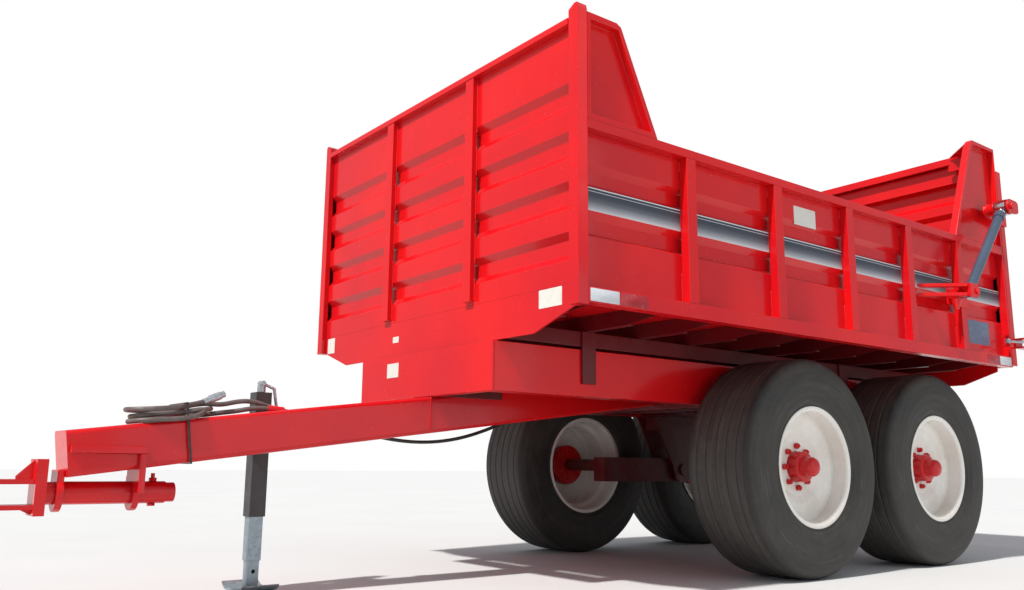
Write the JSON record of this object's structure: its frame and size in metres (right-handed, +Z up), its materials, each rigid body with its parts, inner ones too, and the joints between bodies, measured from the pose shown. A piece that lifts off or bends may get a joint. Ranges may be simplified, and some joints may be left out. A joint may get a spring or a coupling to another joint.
{
  "type": "farm dump trailer",
  "caption": "Tandem-axle drawbar dump trailer with a high ribbed steel body, hydraulic top-hinged tailgate, walking-beam wheels, drop-leg jack and swivel hitch.",
  "frame": {"origin": "on the ground, below the middle of the whole trailer: halfway between the left and right sides and between the hitch fork and the latch ends", "axes": "+Z up, -Y forward towards the hitch, +X to the left side of the trailer seen from above with the hitch ahead; +Y runs back along the trailer"},
  "size_m": [2.732, 5.848, 2.705],
  "materials": {
    "paint_red": "gloss",
    "rim_white": "gloss",
    "tyre": "matte, dusty",
    "paint_grey": "satin",
    "galvanised": "galvanised",
    "zinc": "zinc plated",
    "paint_steel_blue": "gloss",
    "chrome_rod": "polished",
    "hose_brown": "matte, dusty",
    "hose_black": "satin",
    "strap_black": "matte"
  },
  "bodies": {
    "chassis": {"frame_rail_left": "paint_red", "frame_rail_right": "paint_red", "frame_front_plate": "paint_red", "frame_crossmembers": "paint_red", "tongue_beam": "paint_red", "beam_hangers": "paint_red", "hinge_blocks": "paint_red", "hoist_base": "paint_red", "hitch_ears": "paint_red", "hitch_sleeve": "paint_red", "jack_tube": "paint_grey", "hose_hank": "hose_brown", "hose_coupler": "zinc", "hose_tie": "strap_black", "hose_lead_a": "hose_brown", "hose_lead_b": "hose_brown", "hose_under": "hose_black"},
    "hitch_fork": {"clevis_fork": "paint_red", "clevis_collar": "paint_red"},
    "jack_leg": {"jack_ram": "galvanised", "jack_foot": "galvanised"},
    "crank": {"jack_crank": "zinc"},
    "beam_left": {"walking_beam_left": "paint_red"},
    "beam_right": {"walking_beam_right": "paint_red"},
    "dump_body": {"floor_plate": "paint_red", "floor_crossmembers": "paint_red", "body_sills": "paint_red", "front_sheet": "paint_red", "front_frame": "paint_red", "side_sheet_left": "paint_red", "side_sheet_right": "paint_red", "side_frame_left": "paint_red", "side_frame_right": "paint_red", "front_wings": "paint_red", "rear_wings": "paint_red", "rear_frame": "paint_red", "cylinder_brackets": "paint_red"},
    "tailgate": {"gate_sheet": "paint_red", "gate_side_left": "paint_red", "gate_side_right": "paint_red"},
    "gate_barrel_l": {"gate_barrel_left": "paint_steel_blue"},
    "gate_rod_l": {"gate_rod_left": "chrome_rod"},
    "gate_barrel_r": {"gate_barrel_right": "paint_steel_blue"},
    "gate_rod_r": {"gate_rod_right": "chrome_rod"},
    "hoist_barrel": {"hoist_barrel": "paint_steel_blue"},
    "hoist_rod": {"hoist_rod": "chrome_rod"},
    "latch_l": {"latch_left": "zinc"},
    "latch_r": {"latch_right": "zinc"},
    "wheel_left_front": {"tyre_left_front": "tyre", "rim_left_front": "rim_white", "hub_left_front": "paint_red"},
    "wheel_left_rear": {"tyre_left_rear": "tyre", "rim_left_rear": "rim_white", "hub_left_rear": "paint_red"},
    "wheel_right_front": {"tyre_right_front": "tyre", "rim_right_front": "rim_white", "hub_right_front": "paint_red"},
    "wheel_right_rear": {"tyre_right_rear": "tyre", "rim_right_rear": "rim_white", "hub_right_rear": "paint_red"}
  },
  "joints": [
    {"name": "dump_hinge", "type": "hinge", "parent": "chassis", "child": "dump_body", "pos_m": [0, 2.631, 1.06], "axis": [-1, 0, 0], "range_deg": [0, 40]},
    {"name": "hoist_barrel_pivot", "type": "hinge", "parent": "chassis", "child": "hoist_barrel", "pos_m": [0, 0.841, 0.93], "axis": [1, 0, 0], "range_deg": [0, 15.5]},
    {"name": "hoist_rod_slide", "type": "slide", "parent": "hoist_barrel", "child": "hoist_rod", "axis": [0, 0.9822, 0.1879], "range_m": [0, 0.3]},
    {"name": "tailgate_hinge", "type": "hinge", "parent": "dump_body", "child": "tailgate", "pos_m": [0, 2.769, 2.6], "axis": [1, 0, 0], "range_deg": [0, 40]},
    {"name": "beam_left_pivot", "type": "hinge", "parent": "chassis", "child": "beam_left", "pos_m": [0.47, 1.2968, 0.536], "axis": [1, 0, 0], "range_deg": [-6, 6]},
    {"name": "beam_right_pivot", "type": "hinge", "parent": "chassis", "child": "beam_right", "pos_m": [-0.47, 1.2968, 0.536], "axis": [1, 0, 0], "range_deg": [-6, 6]},
    {"name": "hitch_swivel", "type": "hinge", "parent": "chassis", "child": "hitch_fork", "pos_m": [0, -2.509, 0.436], "axis": [0, 1, 0], "continuous": true},
    {"name": "jack_leg_slide", "type": "slide", "parent": "chassis", "child": "jack_leg", "axis": [0, 0, -1], "range_m": [-0.09, 0.15]},
    {"name": "jack_crank_spin", "type": "hinge", "parent": "chassis", "child": "crank", "pos_m": [-0.1845, -1.8065, 0.9], "axis": [0, 0, 1], "continuous": true},
    {"name": "latch_left_swing", "type": "hinge", "parent": "dump_body", "child": "latch_l", "pos_m": [1.215, 2.631, 1.374], "axis": [0, 0, -1], "range_deg": [-16, 70]},
    {"name": "latch_right_swing", "type": "hinge", "parent": "dump_body", "child": "latch_r", "pos_m": [-1.215, 2.631, 1.374], "axis": [0, 0, 1], "range_deg": [-16, 70]},
    {"name": "gate_barrel_left_pivot", "type": "hinge", "parent": "dump_body", "child": "gate_barrel_l", "pos_m": [1.3, 1.976, 1.602], "axis": [-1, 0, 0], "range_deg": [0, 17]},
    {"name": "gate_rod_left_slide", "type": "slide", "parent": "gate_barrel_l", "child": "gate_rod_l", "axis": [0, 0.6635, 0.7481], "range_m": [0, 0.165]},
    {"name": "gate_barrel_right_pivot", "type": "hinge", "parent": "dump_body", "child": "gate_barrel_r", "pos_m": [-1.3, 1.976, 1.602], "axis": [-1, 0, 0], "range_deg": [0, 17]},
    {"name": "gate_rod_right_slide", "type": "slide", "parent": "gate_barrel_r", "child": "gate_rod_r", "axis": [0, 0.6635, 0.7481], "range_m": [0, 0.165]},
    {"name": "wheel_left_front_spin", "type": "hinge", "parent": "beam_left", "child": "wheel_left_front", "pos_m": [0.877, 0.6786, 0.562], "axis": [1, 0, 0], "continuous": true},
    {"name": "wheel_left_rear_spin", "type": "hinge", "parent": "beam_left", "child": "wheel_left_rear", "pos_m": [0.877, 1.915, 0.562], "axis": [1, 0, 0], "continuous": true},
    {"name": "wheel_right_front_spin", "type": "hinge", "parent": "beam_right", "child": "wheel_right_front", "pos_m": [-0.877, 0.6786, 0.562], "axis": [1, 0, 0], "continuous": true},
    {"name": "wheel_right_rear_spin", "type": "hinge", "parent": "beam_right", "child": "wheel_right_rear", "pos_m": [-0.877, 1.915, 0.562], "axis": [1, 0, 0], "continuous": true}
  ],
  "couplings": [
    {"joint": "hoist_barrel_pivot", "follows": "dump_hinge", "ratio": 0.3645},
    {"joint": "hoist_rod_slide", "follows": "dump_hinge", "m_per_rad": 0.4162},
    {"joint": "gate_barrel_left_pivot", "follows": "tailgate_hinge", "ratio": 0.3985},
    {"joint": "gate_rod_left_slide", "follows": "tailgate_hinge", "m_per_rad": 0.2277},
    {"joint": "gate_barrel_right_pivot", "follows": "tailgate_hinge", "ratio": 0.3985},
    {"joint": "gate_rod_right_slide", "follows": "tailgate_hinge", "m_per_rad": 0.2277}
  ]
}
